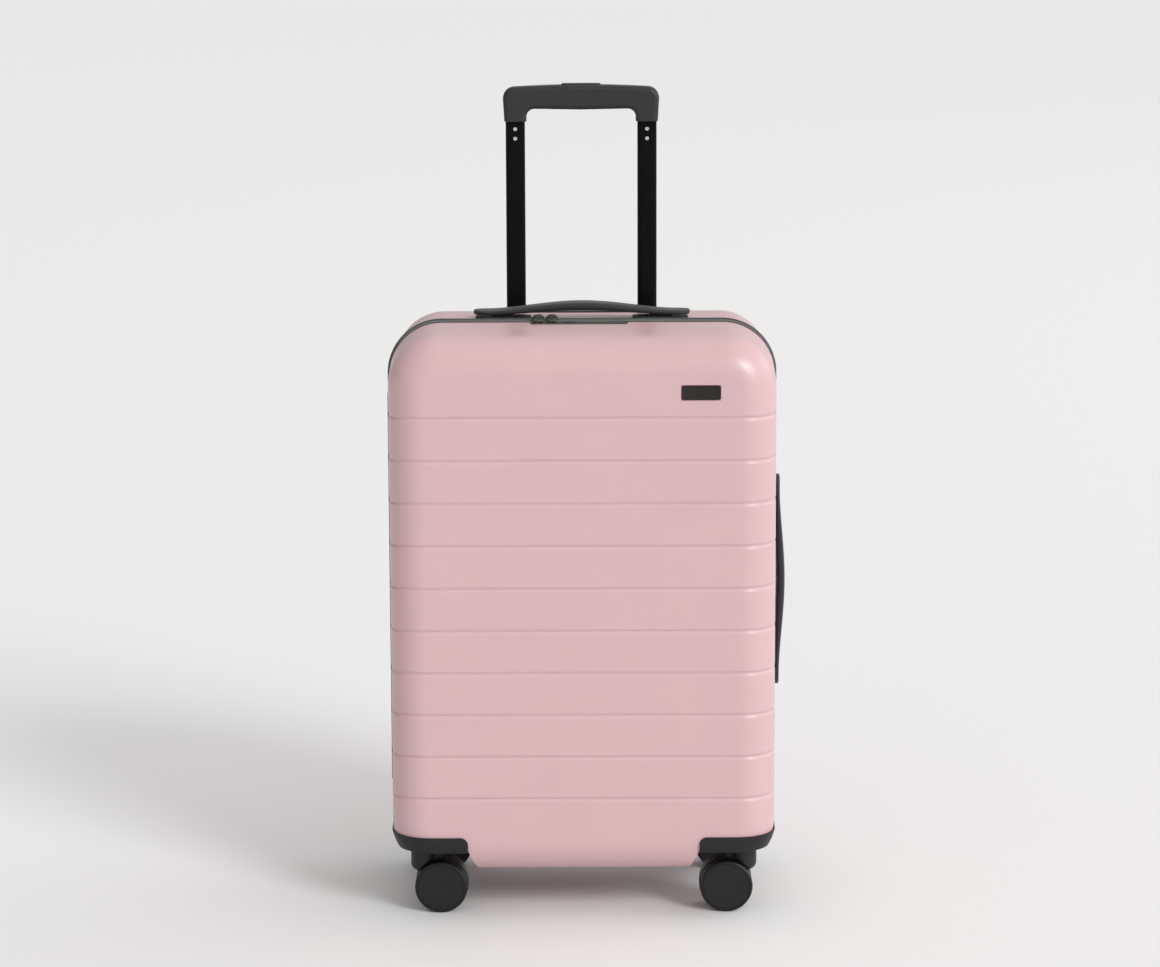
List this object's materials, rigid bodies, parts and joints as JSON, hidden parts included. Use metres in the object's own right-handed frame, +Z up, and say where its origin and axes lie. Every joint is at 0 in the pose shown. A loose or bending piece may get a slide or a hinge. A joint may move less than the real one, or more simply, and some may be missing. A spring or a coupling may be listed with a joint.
{
  "type": "hard shell suitcase on wheels",
  "caption": "Upright hard shell cabin suitcase with grooved zipped shells, telescopic handle, carry handles, combination lock and swivelling twin-wheel casters.",
  "frame": {"origin": "on the floor under the middle of the case, in the plane of the zip seam", "axes": "+Z up, +X towards the side with the carry handle, front of the case towards -Y, trolley handle on the +Y side"},
  "size_m": [0.3805, 0.242, 0.7742],
  "materials": {
    "shell": "satin dusty pink moulded polycarbonate",
    "lining": "dark grey printed nylon lining",
    "webbing": "woven nylon webbing",
    "zip_tape": "black woven zip tape",
    "zip_teeth": "black coiled nylon",
    "guard": "fine grained black polypropylene",
    "black_plastic": "black moulded nylon, fine spark texture",
    "handle_strap": "soft touch moulded black elastomer",
    "black_tube": "black anodised extruded tube",
    "tube_metal": "mill finished extruded tube",
    "steel": "zinc plated",
    "rivet": "polished",
    "gunmetal": "gunmetal finished zinc casting",
    "dial": "dark nylon",
    "badge": "blank dark plate",
    "yoke": "black glass-filled nylon",
    "wheel": "black polyurethane tread over a moulded disc"
  },
  "bodies": {
    "rear_half": {"rear_shell": "shell", "rear_lining": "lining", "rear_zip_tape": "zip_tape", "rear_zip_teeth": "zip_teeth", "hinge_tape": "zip_tape", "trolley_cup": "black_plastic", "outer_tubes": "tube_metal", "tube_foot": "black_plastic", "top_handle_mounts": "black_plastic", "side_handle_mounts": "black_plastic", "rear_fasteners": "steel", "corner_guard_rear_left": "guard", "corner_guard_rear_right": "guard", "packing_straps": "webbing", "strap_buckles": "black_plastic"},
    "front_half": {"front_shell": "shell", "front_lining": "lining", "front_zip_tape": "zip_tape", "front_zip_teeth": "zip_teeth", "corner_guard_front_left": "guard", "corner_guard_front_right": "guard", "front_fasteners": "steel", "lock_plate": "gunmetal", "lock_body": "gunmetal", "badge": "badge", "lid_pocket": "lining"},
    "trolley_middle": {"middle_tubes": "tube_metal"},
    "trolley_upper": {"upper_tubes": "black_tube", "grip": "black_plastic", "grip_rivets": "rivet"},
    "release_button": {"grip_button": "black_plastic", "release_linkage": "tube_metal"},
    "top_handle": {"top_handle": "handle_strap"},
    "side_handle": {"side_handle": "handle_strap"},
    "key_cylinder": {"key_cylinder": "rivet"},
    "lock_button": {"lock_button": "black_plastic"},
    "lock_dial_1": {"lock_dial_1": "dial"},
    "lock_dial_2": {"lock_dial_2": "dial"},
    "lock_dial_3": {"lock_dial_3": "dial"},
    "zip_slider_left": {"zip_slider_left": "gunmetal"},
    "zip_pull_left": {"zip_pull_left": "gunmetal"},
    "zip_slider_right": {"zip_slider_right": "gunmetal"},
    "zip_pull_right": {"zip_pull_right": "gunmetal"},
    "caster_front_left": {"caster_front_left_yoke": "yoke", "caster_front_left_steel": "steel"},
    "caster_front_left_wheel_a": {"caster_front_left_wheel_a": "wheel"},
    "caster_front_left_wheel_b": {"caster_front_left_wheel_b": "wheel"},
    "caster_front_right": {"caster_front_right_yoke": "yoke", "caster_front_right_steel": "steel"},
    "caster_front_right_wheel_a": {"caster_front_right_wheel_a": "wheel"},
    "caster_front_right_wheel_b": {"caster_front_right_wheel_b": "wheel"},
    "caster_rear_left": {"caster_rear_left_yoke": "yoke", "caster_rear_left_steel": "steel"},
    "caster_rear_left_wheel_a": {"caster_rear_left_wheel_a": "wheel"},
    "caster_rear_left_wheel_b": {"caster_rear_left_wheel_b": "wheel"},
    "caster_rear_right": {"caster_rear_right_yoke": "yoke", "caster_rear_right_steel": "steel"},
    "caster_rear_right_wheel_a": {"caster_rear_right_wheel_a": "wheel"},
    "caster_rear_right_wheel_b": {"caster_rear_right_wheel_b": "wheel"}
  },
  "joints": [
    {"name": "case_hinge", "type": "hinge", "parent": "rear_half", "child": "front_half", "pos_m": [-0.1985, 0, 0.299], "axis": [0, 0, -1], "range_deg": [0, 180]},
    {"name": "trolley_lower_slide", "type": "slide", "parent": "rear_half", "child": "trolley_middle", "axis": [0, 0, 1], "range_m": [0, 0.213]},
    {"name": "trolley_upper_slide", "type": "slide", "parent": "trolley_middle", "child": "trolley_upper", "axis": [0, 0, 1], "range_m": [-0.207, 0]},
    {"name": "release_button_press", "type": "slide", "parent": "trolley_upper", "child": "release_button", "axis": [0, 0, -1], "range_m": [0, 0.0035], "stiffness_N_per_m": 800, "springref_m": -0.002},
    {"name": "top_handle_lift", "type": "slide", "parent": "rear_half", "child": "top_handle", "axis": [0, 0, 1], "range_m": [0, 0.007]},
    {"name": "side_handle_lift", "type": "slide", "parent": "rear_half", "child": "side_handle", "axis": [1, 0, 0], "range_m": [0, 0.007]},
    {"name": "key_turn", "type": "hinge", "parent": "front_half", "child": "key_cylinder", "pos_m": [-0.002, -0.0182, 0.55268], "axis": [0, 0, -1], "range_deg": [0, 90]},
    {"name": "lock_button_slide", "type": "slide", "parent": "front_half", "child": "lock_button", "axis": [1, 0, 0], "range_m": [0, 0.003], "stiffness_N_per_m": 300, "springref_m": -0.001},
    {"name": "lock_dial_1_turn", "type": "hinge", "parent": "front_half", "child": "lock_dial_1", "pos_m": [0.0074, -0.0182, 0.55307], "axis": [1, 0, 0], "continuous": true},
    {"name": "lock_dial_2_turn", "type": "hinge", "parent": "front_half", "child": "lock_dial_2", "pos_m": [0.0141, -0.0182, 0.55307], "axis": [1, 0, 0], "continuous": true},
    {"name": "lock_dial_3_turn", "type": "hinge", "parent": "front_half", "child": "lock_dial_3", "pos_m": [0.0208, -0.0182, 0.55307], "axis": [1, 0, 0], "continuous": true},
    {"name": "zip_slider_left_run", "type": "slide", "parent": "front_half", "child": "zip_slider_left", "axis": [-1, 0, 0], "range_m": [0, 0.085]},
    {"name": "zip_pull_left_flip", "type": "hinge", "parent": "zip_slider_left", "child": "zip_pull_left", "pos_m": [-0.0415, -0.0026, 0.5611], "axis": [-1, 0, 0], "range_deg": [0, 110]},
    {"name": "zip_slider_right_run", "type": "slide", "parent": "front_half", "child": "zip_slider_right", "axis": [1, 0, 0], "range_m": [0, 0.15]},
    {"name": "zip_pull_right_flip", "type": "hinge", "parent": "zip_slider_right", "child": "zip_pull_right", "pos_m": [-0.0283, -0.0026, 0.5611], "axis": [-1, 0, 0], "range_deg": [0, 110]},
    {"name": "caster_front_left_swivel", "type": "hinge", "parent": "front_half", "child": "caster_front_left", "pos_m": [-0.1526, -0.073, 0.06], "axis": [0, 0, 1], "continuous": true},
    {"name": "caster_front_left_wheel_a_roll", "type": "hinge", "parent": "caster_front_left", "child": "caster_front_left_wheel_a", "pos_m": [-0.1356, -0.08575, 0.025], "axis": [0, 1, 0], "continuous": true},
    {"name": "caster_front_left_wheel_b_roll", "type": "hinge", "parent": "caster_front_left", "child": "caster_front_left_wheel_b", "pos_m": [-0.1356, -0.06025, 0.025], "axis": [0, 1, 0], "continuous": true},
    {"name": "caster_front_right_swivel", "type": "hinge", "parent": "front_half", "child": "caster_front_right", "pos_m": [0.1526, -0.073, 0.06], "axis": [0, 0, 1], "continuous": true},
    {"name": "caster_front_right_wheel_a_roll", "type": "hinge", "parent": "caster_front_right", "child": "caster_front_right_wheel_a", "pos_m": [0.1356, -0.08575, 0.025], "axis": [0, 1, 0], "continuous": true},
    {"name": "caster_front_right_wheel_b_roll", "type": "hinge", "parent": "caster_front_right", "child": "caster_front_right_wheel_b", "pos_m": [0.1356, -0.06025, 0.025], "axis": [0, 1, 0], "continuous": true},
    {"name": "caster_rear_left_swivel", "type": "hinge", "parent": "rear_half", "child": "caster_rear_left", "pos_m": [-0.1526, 0.073, 0.06], "axis": [0, 0, 1], "continuous": true},
    {"name": "caster_rear_left_wheel_a_roll", "type": "hinge", "parent": "caster_rear_left", "child": "caster_rear_left_wheel_a", "pos_m": [-0.1356, 0.08575, 0.025], "axis": [0, 1, 0], "continuous": true},
    {"name": "caster_rear_left_wheel_b_roll", "type": "hinge", "parent": "caster_rear_left", "child": "caster_rear_left_wheel_b", "pos_m": [-0.1356, 0.06025, 0.025], "axis": [0, 1, 0], "continuous": true},
    {"name": "caster_rear_right_swivel", "type": "hinge", "parent": "rear_half", "child": "caster_rear_right", "pos_m": [0.1526, 0.073, 0.06], "axis": [0, 0, 1], "continuous": true},
    {"name": "caster_rear_right_wheel_a_roll", "type": "hinge", "parent": "caster_rear_right", "child": "caster_rear_right_wheel_a", "pos_m": [0.1356, 0.08575, 0.025], "axis": [0, 1, 0], "continuous": true},
    {"name": "caster_rear_right_wheel_b_roll", "type": "hinge", "parent": "caster_rear_right", "child": "caster_rear_right_wheel_b", "pos_m": [0.1356, 0.06025, 0.025], "axis": [0, 1, 0], "continuous": true}
  ]
}
